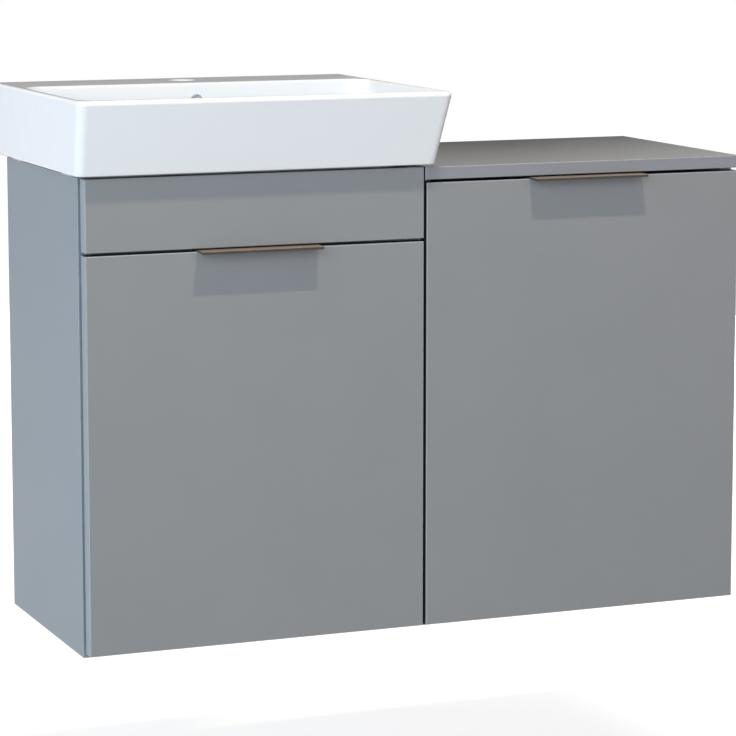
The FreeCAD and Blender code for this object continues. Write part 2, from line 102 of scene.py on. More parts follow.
def maths(tree, operation, *values):
    """The output of a Math node with these values or sockets."""
    return add(tree, "Math", dict(enumerate(values)), operation=operation).outputs[0]


def vectors(tree, operation, first, second):
    """The outputs of a Vector Math node: the first is its vector, and the one named Value its number."""
    return add(tree, "VectorMath", {0: first, 1: second}, operation=operation).outputs


def ramp(tree, value, start, end, first=0.0, last=1.0, smooth=False):
    """A number that is first up to the start of a range, last from its end on, and between in the range."""
    limits = {"Value": value, "From Min": start, "From Max": end, "To Min": first, "To Max": last}
    kind = "SMOOTHSTEP" if smooth else "LINEAR"
    return add(tree, "MapRange", limits, interpolation_type=kind).outputs[0]


# %% [markdown]
# A material starts empty, with one node that gives the position on the object. The finishes of the unit add
# the usual shader to it, and the studio's papers add a glow. A group is an effect that several finishes
# share, with named sockets on its way in and out.


# %% Starting materials and groups
def bare_material(name):
    """A material with no other node than the one for the Object position, which its patterns read."""
    material = bpy.data.materials.new(name)
    material.use_nodes = True
    tree = material.node_tree
    tree.nodes.clear()
    return material, tree, add(tree, "TexCoord").outputs["Object"]


def start_material(name):
    """A bare material with a Principled shader on its output."""
    material, tree, position = bare_material(name)
    shader = add(tree, "BsdfPrincipled")
    add(tree, "OutputMaterial", {"Surface": shader.outputs[0]})
    return material, tree, shader, position


def start_group(name, inputs, outputs):
    """A shader node group with these named sockets, and its entry and exit nodes."""
    tree = bpy.data.node_groups.new(name, "ShaderNodeTree")
    for label, kind in inputs.items():
        tree.interface.new_socket(label, in_out="INPUT", socket_type="NodeSocket" + kind)
    for label, kind in outputs.items():
        tree.interface.new_socket(label, in_out="OUTPUT", socket_type="NodeSocket" + kind)
    return tree, tree.nodes.new("NodeGroupInput"), tree.nodes.new("NodeGroupOutput")


# %% [markdown]
# ## The studio
# The ground is white paper all round. It could be lit until it is white, but then its light would spill on
# the unit and wash out the pale glaze. So the world is white only to the camera and to reflections, and much
# dimmer as a light. The floor works the same way: it adds a glow for the camera, weaker under the unit, so
# that the shadow shows there, and full further out, where the paper should be plain white.


# %% World
def seen_ray(tree):
    """One for rays from the camera, off a gloss or through glass, and nil for rays that gather light."""
    rays = add(tree, "LightPath").outputs
    either = maths(tree, "MAXIMUM", rays["Is Camera Ray"], rays["Is Glossy Ray"])
    return maths(tree, "MAXIMUM", either, rays["Is Transmission Ray"])


DIM_TINT, DIM_LEVEL = (0.94, 0.97, 1.0, 1), 0.10
WHITE, WHITE_LEVEL = (1, 1, 1, 1), 1.0
world = bpy.data.worlds.new("white_paper")
scene.world = world
world.use_nodes = True
tree = world.node_tree
tree.nodes.clear()
dim = add(tree, "Background", {"Color": DIM_TINT, "Strength": DIM_LEVEL})
paper = add(tree, "Background", {"Color": WHITE, "Strength": WHITE_LEVEL})
shown = add(tree, "MixShader", {0: seen_ray(tree), 1: dim.outputs[0], 2: paper.outputs[0]})
add(tree, "OutputWorld", {"Surface": shown.outputs[0]})
print("world seen at", WHITE_LEVEL, "and lighting at", DIM_LEVEL)


# %% Floor
def flat_sheet(name, corners, material):
    """A sheet of studio paper through four corners, which isn't part of the unit."""
    mesh = bpy.data.meshes.new(name)
    mesh.from_pydata(corners, [], [(0, 1, 2, 3)])
    mesh.materials.append(material)
    holder = bpy.data.objects.new(name, mesh)
    scene.collection.objects.link(holder)
    return holder


FLOOR_Z, FLOOR_HALF, FLOOR_GREY = -0.35, 12.0, (0.45, 0.45, 0.45, 1)
GLOW_START, GLOW_END, GLOW_UNDER = 0.6, 1.8, 0.7
floor_paper, tree, spot = bare_material("floor_paper")
way_out = vectors(tree, "DISTANCE", spot, (0, 0, FLOOR_Z))["Value"]
glow_level = ramp(tree, way_out, GLOW_START, GLOW_END, first=GLOW_UNDER, last=WHITE_LEVEL)
matt = add(tree, "BsdfDiffuse", {"Color": FLOOR_GREY})
glow = add(tree, "Emission", {"Strength": maths(tree, "MULTIPLY", seen_ray(tree), glow_level)})
lit = add(tree, "AddShader", {0: matt.outputs[0], 1: glow.outputs[0]})
add(tree, "OutputMaterial", {"Surface": lit.outputs[0]})
around = ((-1, -1), (1, -1), (1, 1), (-1, 1))
flat_sheet("floor", [(x * FLOOR_HALF, y * FLOOR_HALF, FLOOR_Z) for x, y in around], floor_paper)
print("floor at", FLOOR_Z, "m, plain white from", GLOW_END, "m out")

# %% [markdown]
# A glossy top that is looked along shows what stands behind it. Photographers put a dark card there, so that
# the tap ledge and the worktop keep their own tone in place of a white glare. This one is darkest at its
# foot, which lets the worktop deepen towards the wall, and a little lighter to the right. Only reflections
# see it.

# %% Dark card
# Each of the three ramps is a range in metres and the levels at its two ends: up the card, across it behind
# the basin, and across it behind the worktop.
CARD_Y, CARD_LEFT, CARD_RIGHT, CARD_FOOT, CARD_TOP = 0.28, -0.46, 2.6, 0.5, 2.2
CARD_TINT = (0.96, 0.97, 0.98, 1)
CARD_RISE, BASIN_SHARE, WORKTOP_LIFT = (0.64, 0.715, 0.0, 0.8), (0.13, 0.24, 0.3, 1.0), (0.4, 0.9, 0.0, 0.2)
card_paint, tree, spot = bare_material("dark_card")
across, _, height = add(tree, "SeparateXYZ", {0: spot}).outputs
rise = ramp(tree, height, *CARD_RISE)
share = ramp(tree, across, *BASIN_SHARE)
shade = maths(tree, "MULTIPLY_ADD", rise, share, ramp(tree, across, *WORKTOP_LIFT))
dull = add(tree, "Emission", {"Color": CARD_TINT, "Strength": shade})
add(tree, "OutputMaterial", {"Surface": dull.outputs[0]})
outline = ((CARD_LEFT, CARD_FOOT), (CARD_RIGHT, CARD_FOOT), (CARD_RIGHT, CARD_TOP), (CARD_LEFT, CARD_TOP))
card = flat_sheet("dark_card", [(x, CARD_Y, z) for x, z in outline], card_paint)
for ray in ("camera", "diffuse", "transmission", "shadow"):
    setattr(card, "visible_" + ray, False)
print("dark card", CARD_Y, "m behind the wall face, for reflections only")

# %% [markdown]
# ## The lamps
# A flat lamp of power P at distance d lights a white sheet that faces it to a brightness of P / (pi d)^2, so
# each lamp is given the brightness that it should bring and its power follows. Tall cool boxes to the left
# do most of the work on the fronts and the left side, and a small warm one high in front draws the shadows
# of the handles and the basin. The tall boxes are kept out of reflections, because their bright shapes would
# burn out the glaze; the white paper and the dark card are what the gloss shows. Two more stand to the right
# and behind, so that no side is left dull.

# %% Soft boxes
AIM = Vector((-0.05, -0.3, 0.42))


def soft_box(name, azimuth, elevation, distance, width, height, levels, in_gloss):
    """A flat lamp aimed at the unit; levels are the red, green and blue of a white sheet that faces it."""
    a, e = np.radians(azimuth), np.radians(elevation)
    towards = Vector((np.sin(a) * np.cos(e), -np.cos(a) * np.cos(e), np.sin(e)))
    lamp = bpy.data.lights.new(name, "AREA")
    lamp.shape = "RECTANGLE"
    lamp.size, lamp.size_y = width, height
    lamp.energy = max(levels) * (np.pi * distance) ** 2
    lamp.color = [v / max(levels) for v in levels]
    holder = bpy.data.objects.new(name, lamp)
    holder.location = AIM + towards * distance
    holder.rotation_euler = (-towards).to_track_quat("-Z", "Y").to_euler()
    holder.visible_glossy = in_gloss
    holder.visible_camera = False
    scene.collection.objects.link(holder)
    print(f"{name}: {lamp.energy:.1f} W at {distance} m")


# Each row: name, azimuth and elevation in degrees, distance, width and height in metres, levels, in gloss.
LAMPS = (
    ("left_near", -33, 20, 5.5, 2.2, 3.2, (0.352, 0.424, 0.497), False),
    ("left_front", -62, 18, 4.5, 1.8, 2.4, (0.20, 0.28, 0.26), False),
    ("left_side", -90, 15, 4.5, 1.8, 2.4, (0.28, 0.255, 0.32), False),
    ("right_front", 25, 20, 4.5, 1.8, 2.4, (0.20, 0.155, 0.15), False),
    ("front_low", -15, 4, 5.5, 2.2, 1.0, (0.10, 0.10, 0.10), False),
    ("shadow_key", 2, 69.0, 2.7, 0.34, 0.05, (0.70, 0.585, 0.445), True),
    ("right_side", 143, 0, 5.5, 2.2, 1.4, (0.7, 0.7, 0.7), False),
    ("back", 180, 0, 5.5, 2.2, 1.4, (0.2, 0.2, 0.2), False),
)
for row in LAMPS:
    soft_box(*row)

# %% [markdown]
# ## Shared effects
# The boards are sprayed with a satin lacquer, so up close they show clouding of the tone and a fine orange
# peel. Their arrises are painted a little brighter, as a painted highlight. Metal is brushed along one
# direction, and plastic keeps the grain of its mould. Pictures wrapped round the pieces could show all this,
# but patterns worked out from the position on the object have no seams and stay sharp up close. Each effect
# is a group of nodes, built once, that reads the position and puts out colours, masks and heights.


# %% Lacquer film
def noise(tree, position, to_the_metre, detail):
    """A soft pattern between nil and one, with so many waves to the metre."""
    return add(tree, "TexNoise", {"Vector": position, "Scale": to_the_metre, "Detail": detail}).outputs[0]


def swung(tree, pattern, reach, middle):
    """A pattern between nil and one, moved to swing about a middle value by half of reach to either side."""
    return maths(tree, "MULTIPLY_ADD", maths(tree, "SUBTRACT", pattern, 0.5), reach, middle)


def scaled(tree, vector, factor):
    """A vector or a colour times a factor."""
    return add(tree, "VectorMath", {0: vector, "Scale": factor}, operation="SCALE").outputs[0]


CLOUDS, PEEL, GRIT = 9.0, 380.0, 1500.0
CLOUD_SWING, GRIT_SWING, GRIT_HEIGHT = 0.25, 0.35, 0.25
film, enter, leave = start_group(
    "lacquer_film",
    {"Position": "Vector", "Tone": "Color", "Clouding": "Float", "Satin": "Float"},
    {"Color": "Color", "Roughness": "Float", "Height": "Float"},
)
cloud = noise(film, enter.outputs["Position"], CLOUDS, detail=4.0)
peel = noise(film, enter.outputs["Position"], PEEL, detail=2.0)
grit = noise(film, enter.outputs["Position"], GRIT, detail=1.0)
lift = swung(film, cloud, enter.outputs["Clouding"], 1.0)
sheen = swung(film, cloud, CLOUD_SWING, swung(film, grit, GRIT_SWING, 1.0))
fill(film, leave, {
    "Color": scaled(film, enter.outputs["Tone"], lift),
    "Roughness": maths(film, "MULTIPLY", sheen, enter.outputs["Satin"]),
    "Height": maths(film, "MULTIPLY_ADD", grit, GRIT_HEIGHT, peel),
})
print("lacquer film:", len(film.nodes), "nodes")


# %% Arrises of a board
# On a board's surface one of the three distances to its faces is nil, and the middle one is the way to the
# nearest arris. The mask fades from one at the arris to nil at the given width.
def ways_in(tree, enter):
    """How far a position lies above its box's low corner and below the high one, as two vectors."""
    below = vectors(tree, "SUBTRACT", enter.outputs["Position"], enter.outputs["Low"])[0]
    above = vectors(tree, "SUBTRACT", enter.outputs["High"], enter.outputs["Position"])[0]
    return below, above


arris, enter, leave = start_group(
    "arris",
    {"Position": "Vector", "Low": "Vector", "High": "Vector", "Width": "Float"},
    {"Mask": "Float"},
)
nearer = vectors(arris, "MINIMUM", *ways_in(arris, enter))[0]
ways = add(arris, "SeparateXYZ", {0: nearer}).outputs
small = maths(arris, "MINIMUM", ways[0], ways[1])
large = maths(arris, "MAXIMUM", ways[0], ways[1])
middle = maths(arris, "MAXIMUM", small, maths(arris, "MINIMUM", large, ways[2]))
part = maths(arris, "DIVIDE", middle, enter.outputs["Width"])
fill(arris, leave, {"Mask": ramp(arris, part, 0.0, 1.0, first=1.0, last=0.0, smooth=True)})
print("arris mask:", len(arris.nodes), "nodes")

# %% Seams between boards
# The edges that face a gap are painted dark and matt, as painted shade that keeps the gap lines crisp. The
# mask is one on the chosen faces of the board's box, from a millimetre or so behind the room side, and nil
# elsewhere. The same mask on a front's left faces carries the painted light there.
SKIN, SEAM_START, SEAM_FULL = 0.0004, 0.0004, 0.0018
seam, enter, leave = start_group(
    "seam",
    {"Position": "Vector", "Low": "Vector", "High": "Vector", "Low sides": "Vector", "High sides": "Vector"},
    {"Mask": "Float"},
)
below, above = ways_in(seam, enter)
touch = []
for way, sides in ((below, "Low sides"), (above, "High sides")):
    off = vectors(seam, "MINIMUM", scaled(seam, way, 1 / SKIN), (1, 1, 1))[0]
    near = vectors(seam, "SUBTRACT", (1, 1, 1), off)[0]
    touch.append(vectors(seam, "DOT_PRODUCT", near, enter.outputs[sides])["Value"])
behind = add(seam, "SeparateXYZ", {0: below}).outputs[1]
deep = ramp(seam, behind, SEAM_START, SEAM_FULL, smooth=True)
fill(seam, leave, {"Mask": maths(seam, "MULTIPLY", maths(seam, "MAXIMUM", *touch), deep)})
print("seam mask:", len(seam.nodes), "nodes")

# %% Brushed metal
PATCHES, STREAK_SWING, PATCH_SWING = 30.0, 0.25, 0.1
brushed, enter, leave = start_group(
    "brushed",
    {"Position": "Vector", "Stretch": "Vector", "Tone": "Color", "Streaks": "Float", "Base": "Float"},
    {"Color": "Color", "Roughness": "Float", "Height": "Float"},
)
drawn = vectors(brushed, "MULTIPLY", enter.outputs["Position"], enter.outputs["Stretch"])[0]
streak = noise(brushed, drawn, 1.0, detail=3.0)
patch = noise(brushed, enter.outputs["Position"], PATCHES, detail=2.0)
lift = swung(brushed, streak, enter.outputs["Streaks"], 1.0)
rough = swung(brushed, streak, STREAK_SWING, enter.outputs["Base"])
fill(brushed, leave, {
    "Color": scaled(brushed, enter.outputs["Tone"], lift),
    "Roughness": swung(brushed, patch, PATCH_SWING, rough),
    "Height": streak,
})
print("brushed metal:", len(brushed.nodes), "nodes")

# %% Moulded grain
FLOW, FLOW_SWING, CELL_ROUGH = 18.0, 0.12, 0.12
moulded, enter, leave = start_group(
    "moulded",
    {"Position": "Vector", "Tone": "Color", "Grain": "Float", "Base": "Float"},
    {"Color": "Color", "Roughness": "Float", "Height": "Float"},
)
grain = {"Vector": enter.outputs["Position"], "Scale": enter.outputs["Grain"]}
cells = add(moulded, "TexVoronoi", grain).outputs["Distance"]
flow = noise(moulded, enter.outputs["Position"], FLOW, detail=3.0)
fill(moulded, leave, {
    "Color": scaled(moulded, enter.outputs["Tone"], swung(moulded, flow, FLOW_SWING, 1.0)),
    "Roughness": maths(moulded, "MULTIPLY_ADD", cells, CELL_ROUGH, enter.outputs["Base"]),
    "Height": cells,
})
print("moulded grain:", len(moulded.nodes), "nodes")

# %% [markdown]
# ## Lacquered boards
# The fronts, sides, bottoms, rear rails and worktop are boards in one grey satin lacquer. Light and shade
# are
# painted into some of its tones: the carcass is a cooler grey as painted cool light from the left, the
# fronts' left edge faces are paler, the worktop's top is darker, the arrises are brighter and the faces in
# the gaps are nearly black. Every board gets its own material, because the arris mask has to know the
# board's corners, but they are all written by one function.


# %% Board finish
def place(tree, group, **values):
    """A group placed in a material, with values for its inputs (underscores stand for spaces)."""
    node = tree.nodes.new("ShaderNodeGroup")
    node.node_tree = group
    fill(tree, node, {name.replace("_", " "): value for name, value in values.items()})
    return node.outputs


def mixed(tree, share, first, second):
    """A colour that goes from the first to the second as share goes from nil to one. A Mix node has sockets
    for several kinds of value, and its colours come in at 6 and 7 and go out at 2."""
    return add(tree, "Mix", {0: share, 6: first, 7: second}, data_type="RGBA").outputs[2]


def bump(tree, shader, height, depth):
    """Bends the shader's normals by a height pattern whose full swing is this many metres."""
    relief = add(tree, "Bump", {"Height": height, "Distance": depth, "Strength": 1.0})
    tree.links.new(relief.outputs[0], shader.inputs["Normal"])


NO_SIDES, LEFT_SIDE = (0, 0, 0), (1, 0, 0)
# Painted shade for the faces in the gaps.
SEAM_PAINTED_SHADE, SEAM_ROUGH = (0.022, 0.023, 0.024, 1), 0.75
TOP_START, TOP_FULL = 0.0012, 0.0004
BOARD_SPECULAR, PEEL_DEPTH = 0.4, 0.00001


def board_finish(name, node, tone, satin, clouding, arris_highlight_and_edge_tone, arris_width=0.0014, top_shade_tone=None, left_light=None,
                 seams=None):
    """Satin lacquer on one board, with another tone close to its arrises: a painted highlight on lacquer and
    a deeper edge tone on melamine. The top face may be painted darker as painted shade, the left edge faces
    may take a paler tone as painted light, and seams gives the low and high sides that face a gap, which are
    painted dark as painted shade."""
    material, tree, shader, position = start_material(name)
    low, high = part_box(node)
    tone = (*tone, 1)
    # Painted shade: the top face is painted darker than the board's edges.
    if top_shade_tone:
        height = add(tree, "SeparateXYZ", {0: position}).outputs[2]
        top = ramp(tree, height, high[2] - TOP_START, high[2] - TOP_FULL)
        tone = mixed(tree, top, tone, (*top_shade_tone, 1))
    coat = place(tree, film, Position=position, Tone=tone, Clouding=clouding, Satin=satin)
    # Painted highlight on lacquer arrises; on melamine the arrises take a deeper edge tone.
    arris_highlight_and_edge = place(tree, arris, Position=position, Low=low, High=high, Width=arris_width)
    colour = mixed(tree, arris_highlight_and_edge["Mask"], coat["Color"], (*arris_highlight_and_edge_tone, 1))
    roughness = coat["Roughness"]
    corners = {"Position": position, "Low": low, "High": high}
    # Painted light: the left edge faces take a paler, cooler tone.
    if left_light:
        left = place(tree, seam, **corners, Low_sides=LEFT_SIDE, High_sides=NO_SIDES)
        colour = mixed(tree, left["Mask"], colour, (*left_light, 1))
    # Painted shade: the faces in the gaps are painted nearly black.
    if seams:
        dark = place(tree, seam, **corners, Low_sides=seams[0], High_sides=seams[1])["Mask"]
        colour = mixed(tree, dark, colour, SEAM_PAINTED_SHADE)
        roughness = maths(tree, "MAXIMUM", roughness, maths(tree, "MULTIPLY", dark, SEAM_ROUGH))
    tree.links.new(colour, shader.inputs["Base Color"])
    tree.links.new(roughness, shader.inputs["Roughness"])
    shader.inputs["Specular IOR Level"].default_value = BOARD_SPECULAR
    bump(tree, shader, coat["Height"], PEEL_DEPTH)
    return material


# %% Grey boards
def dress(node, material):
    """Gives a solid a material in place of the one that it came with."""
    nodes[node].data.materials.clear()
    nodes[node].data.materials.append(material)


# Painted light and shade: cooler carcass grey, bright arris grey, dark top grey, pale left edge grey.
GREY, CARCASS_GREY_PAINTED_COOL_LIGHT, GREY_ARRIS_PAINTED_HIGHLIGHT = (0.212, 0.223, 0.235), (0.201, 0.237, 0.267), (0.36, 0.38, 0.40)
TOP_GREY_PAINTED_SHADE, TOP_EDGE, LEFT_EDGE_PAINTED_LIGHT = (0.150, 0.156, 0.162), (0.212, 0.225, 0.252), (0.242, 0.281, 0.314)
SATIN, CLOUDING, TOP_SATIN, TOP_CLOUDING = 0.42, 0.09, 0.22, 0.05
# The sides of a front that face a gap, which are painted dark as painted shade: the low ones are left, front
# and bottom, the high ones right, back and top.
FRONTS = {
    "drawer_front": (NO_SIDES, (1, 0, 1)),
    "fixed_front_panel": ((0, 0, 1), (1, 0, 0)),
    "laundry_front": (LEFT_SIDE, (0, 0, 1)),
}
for node, seams in FRONTS.items():
    dress(node, board_finish(node + "_lacquer", node, GREY, SATIN, CLOUDING, GREY_ARRIS_PAINTED_HIGHLIGHT, left_light=LEFT_EDGE_PAINTED_LIGHT,
                             seams=seams))
CARCASS = (
    "left_side_outer", "left_side_inner", "right_side_inner", "right_side_outer", "left_bottom_panel",
    "right_bottom_panel", "left_rear_rail_upper", "left_rear_rail_lower",
)
# The carcass grey is cooler than the fronts' grey, as painted cool light from the left.
for node in CARCASS:
    dress(node, board_finish(node + "_lacquer", node, CARCASS_GREY_PAINTED_COOL_LIGHT, SATIN, CLOUDING, GREY_ARRIS_PAINTED_HIGHLIGHT))
# The worktop's top face is painted darker, as painted shade.
dress("worktop", board_finish("worktop_lacquer", "worktop", TOP_EDGE, TOP_SATIN, TOP_CLOUDING, GREY_ARRIS_PAINTED_HIGHLIGHT,
                              top_shade_tone=TOP_GREY_PAINTED_SHADE, seams=(LEFT_SIDE, NO_SIDES)))
print("lacquered boards:", len(FRONTS) + len(CARCASS) + 1)

# %% [markdown]
# ## Inner boards
# The drawer box and the back panel are boards faced with a pale melamine paper. It has a faint cloudy print
# and a fine pearl grain, and the tone is a little deeper along the arrises. A finish of its own isn't
# needed: the one for lacquer gives this paper too, with a paler tone, more clouding and less sheen.

# %% Melamine
PALE, PALE_EDGE, PALE_EDGE_WIDTH = (0.56, 0.565, 0.56), (0.47, 0.47, 0.46), 0.0009
PALE_SATIN, PALE_CLOUDING = 0.5, 0.14
INNER_BOARDS = (
    "drawer_side_left", "drawer_side_right", "drawer_sub_front", "drawer_back", "drawer_bottom_panel",
    "right_back_panel",
)
for node in INNER_BOARDS:
    dress(node, board_finish(node + "_melamine", node, PALE, PALE_SATIN, PALE_CLOUDING, PALE_EDGE,
                             PALE_EDGE_WIDTH))
print("melamine boards:", len(INNER_BOARDS))

# %% [markdown]
# ## Glazed ceramic
# The basin is fired with a thick white glaze. The body under it is slightly uneven, so the gloss ripples,
# the tone is a touch cooler where the glaze pools, and a few pin-sized specks show. The walls inside throw
# light at each other, which would wash the bowl out, so shade is painted on the glaze there as a greyer
# tone, and the topmost faces of the basin carry a painted shade too. That could be painted on the mesh by
# hand, but a mask worked out from the place on the basin follows the shape by itself.

# %% Glaze
POOLED, CLEAR, SPECK_TONE = (0.81, 0.825, 0.845, 1), (0.83, 0.847, 0.862, 1), (0.5, 0.48, 0.44, 1)
POOLS, RIPPLES, SPECKS = 7.0, 26.0, 95.0
SPECK_HEART, SPECK_RIM, SPECK_SHARE = 0.03, 0.06, 0.12
glaze, tree, shader, position = start_material("white_glaze")
pool = noise(tree, position, POOLS, detail=2.0)
ripple = noise(tree, position, RIPPLES, detail=1.0)
speck = add(tree, "TexVoronoi", {"Vector": position, "Scale": SPECKS}).outputs["Distance"]
speck_share = ramp(tree, speck, SPECK_HEART, SPECK_RIM, first=SPECK_SHARE, last=0.0)
body = mixed(tree, pool, POOLED, CLEAR)
print("glaze with", SPECKS, "speck cells to the metre")

# %% Inside of the bowl
# The walls lean in by a fixed share of the way below the rim. A point is inside where it is further in than
# the leaning outer skin on every side, below the rim and above the foot. The way from the right counts for
# less, because that wall faces the lamps and stays white for longer, and the way below the rim for more, so
# that the grey starts right under it.
WALL_LEAN, END_LEAN, LEDGE, LEDGE_ROUND = 0.425, 0.075, 0.108, 0.012
RIGHT_SHARE, RIM_SHARE = 0.3, 6.0
INSIDE_START, INSIDE_FULL = 0.004, 0.009
low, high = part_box("basin")
x, y, z = add(tree, "SeparateXYZ", {0: position}).outputs
under = maths(tree, "SUBTRACT", high[2], z)
from_front = maths(tree, "SUBTRACT", maths(tree, "MULTIPLY_ADD", under, -WALL_LEAN, y), low[1])
from_left = maths(tree, "SUBTRACT", maths(tree, "MULTIPLY_ADD", under, -END_LEAN, x), low[0])
from_right = maths(tree, "SUBTRACT", high[0], maths(tree, "MULTIPLY_ADD", under, END_LEAN, x))
from_right = maths(tree, "MULTIPLY", from_right, RIGHT_SHARE)
from_back = maths(tree, "SUBTRACT", LEDGE_ROUND - LEDGE, y)
from_foot = maths(tree, "SUBTRACT", z, low[2])
inset = maths(tree, "MULTIPLY", under, RIM_SHARE)
for way in (from_front, from_left, from_right, from_back, from_foot):
    inset = maths(tree, "MINIMUM", inset, way)
# Painted shade: the mask for the greyer glaze inside the bowl.
bowl_painted_shade = ramp(tree, inset, INSIDE_START, INSIDE_FULL)
print("bowl wall leans", WALL_LEAN, "in front and", END_LEAN, "at the ends")

# %% Glaze by place
CROWN_PAINTED_SHADE, INSIDE_PAINTED_SHADE = (0.76, 0.81, 0.88, 1), (0.658, 0.697, 0.749, 1)
CROWN_FULL, CROWN_END = 0.0004, 0.0012
GLOSS_BASE, GLOSS_SWING, GLAZE_SPECULAR, RIPPLE_DEPTH = 0.05, 0.06, 0.5, 0.0003
# Painted shade: the topmost faces of the basin take a cooler, darker grey.
crown = ramp(tree, under, CROWN_FULL, CROWN_END, first=1.0, last=0.0)
glaze_with_painted_shade = mixed(tree, bowl_painted_shade, mixed(tree, crown, body, CROWN_PAINTED_SHADE), INSIDE_PAINTED_SHADE)
tree.links.new(mixed(tree, speck_share, glaze_with_painted_shade, SPECK_TONE), shader.inputs["Base Color"])
gloss = maths(tree, "MULTIPLY_ADD", ripple, GLOSS_SWING, GLOSS_BASE)
tree.links.new(gloss, shader.inputs["Roughness"])
shader.inputs["Specular IOR Level"].default_value = GLAZE_SPECULAR
bump(tree, shader, ripple, RIPPLE_DEPTH)
dress("basin", glaze)
print("basin glazed:", len(tree.nodes), "nodes")

# %% [markdown]
# ## Metal
# The handles are bent from sheet with a brownish anodised film, brushed along their length. The slides,
# hinge, stays, hooks and rails are zinc-plated steel, brighter and a little blotchy. The streaks of a brush
# are too fine to model, so they are a noise that is squeezed in two directions and left long in the third.


# %% Brown handles
# Painted shade: the lip below the upper arris and the part inside the gap are nearly black.
HANDLE_TONE, LIP_AND_GAP_PAINTED_SHADE = (0.25, 0.202, 0.168, 1), (0.045, 0.038, 0.034, 1)
ALONG_X, HANDLE_STREAKS, HANDLE_ROUGH, HANDLE_METAL = (6.0, 900.0, 900.0), 0.25, 0.42, 0.35
LIP_START, LIP_END, GAP_DEPTH, BRUSH_DEPTH = 0.0007, 0.0001, 0.003, 0.00001
HANDLES = ("drawer_handle", "laundry_handle")


def handle_finish(name, node):
    """Brushed brown film, with painted shade: nearly black on the lip below the upper arris and in the gap.
    """
    material, tree, shader, position = start_material(name)
    grain = place(tree, brushed, Position=position, Stretch=ALONG_X, Tone=HANDLE_TONE,
                  Streaks=HANDLE_STREAKS, Base=HANDLE_ROUGH)
    _, inward, height = add(tree, "SeparateXYZ", {0: position}).outputs
    crown, room_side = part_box(node)[1][2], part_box("drawer_front")[0][1]
    above_lip = ramp(tree, height, crown - LIP_START, crown - LIP_END)
    gap_painted_shade = ramp(tree, inward, room_side, room_side + GAP_DEPTH)
    plain = maths(tree, "SUBTRACT", above_lip, gap_painted_shade)
    tree.links.new(mixed(tree, plain, LIP_AND_GAP_PAINTED_SHADE, grain["Color"]), shader.inputs["Base Color"])
    tree.links.new(grain["Roughness"], shader.inputs["Roughness"])
    shader.inputs["Metallic"].default_value = HANDLE_METAL
    bump(tree, shader, grain["Height"], BRUSH_DEPTH)
    return material


for node in HANDLES:
    dress(node, handle_finish(node + "_film", node))
print("handles:", len(HANDLES))


# %% Plated steel
def metal_finish(name, tone, stretch, streaks, base, depth):
    """Metal with streaks drawn along the direction in which stretch is smallest."""
    material, tree, shader, position = start_material(name)
    drawn = place(tree, brushed, Position=position, Stretch=stretch, Tone=(*tone, 1), Streaks=streaks,
                  Base=base)
    tree.links.new(drawn["Color"], shader.inputs["Base Color"])
    tree.links.new(drawn["Roughness"], shader.inputs["Roughness"])
    shader.inputs["Metallic"].default_value = 1.0
    bump(tree, shader, drawn["Height"], depth)
    return material


BLOTCHY, ALONG_Y = (220.0, 220.0, 220.0), (900.0, 12.0, 900.0)
zinc = metal_finish("zinc_plate", tone=(0.60, 0.61, 0.62), stretch=BLOTCHY, streaks=0.22, base=0.36,
                    depth=0.000012)
zinc_drawn = metal_finish("zinc_plate_drawn", tone=(0.62, 0.63, 0.64), stretch=ALONG_Y, streaks=0.2,
                          base=0.3, depth=BRUSH_DEPTH)
MEMBERS = [f"slide_{member}_member_{side}" for member in ("cabinet", "middle", "drawer")
           for side in ("left", "right")]
PLATED = (
    "hinge_leaf_moving", "hinge_leaf_fixed", "hinge_pin", "stay_inner", "stay_outer", "stay_stop_pins",
    "hanger_hooks", "wall_rail_left", "wall_rail_right", "fixed_panel_brackets", "slide_bearing_strips",
    "cabinet_connector_sleeves",
)
for node in MEMBERS:
    dress(node, zinc_drawn)
for node in PLATED:
    dress(node, zinc)
print("steel pieces:", len(MEMBERS) + len(PLATED))

# %% [markdown]
# ## Plastics
# The laundry bin is an injection-moulded tub with a fine grain. The hanger housings are grey plastic, and
# the bumpers and the pads under the basin are soft clear rubber that has gone slightly milky. The grain
# comes from the etched steel of the mould. Modelled dents would take millions of faces, so a pattern of
# cells bends the light in their place.


# %% Moulded pieces
def plastic_finish(name, tone, grain, base, depth):
    """Moulded plastic with a grain of this many cells to the metre."""
    material, tree, shader, position = start_material(name)
    skin = place(tree, moulded, Position=position, Tone=(*tone, 1), Grain=grain, Base=base)
    tree.links.new(skin["Color"], shader.inputs["Base Color"])
    tree.links.new(skin["Roughness"], shader.inputs["Roughness"])
    bump(tree, shader, skin["Height"], depth)
    return material


tub = plastic_finish("bin_plastic", tone=(0.66, 0.66, 0.64), grain=900.0, base=0.4, depth=0.00005)
grey = plastic_finish("grey_plastic", tone=(0.36, 0.37, 0.38), grain=1200.0, base=0.45, depth=0.00005)
rubber = plastic_finish("milky_rubber", tone=(0.62, 0.63, 0.63), grain=500.0, base=0.5, depth=0.00003)
dress("laundry_bin", tub)
dress("hanger_housings", grey)
dress("front_bumpers", rubber)
dress("basin_seat_pads", rubber)
plain = [n for n, o in nodes.items() if not o.data.materials or not o.data.materials[0].use_nodes]
print("solids without a finish:", plain)

# %% [markdown]
# ## Surfaces from formulas
# The small fittings could be put together from cylinders and boxes, but here they are surfaces worked out on
# a grid: every point is a formula of two parameters, and the grid's own order gives the faces, so dozens of
# copies are one sum over arrays. One helper turns such grids into a mesh, closes the poles and rides it on a
# body, and another stands copies of a grid on a face.


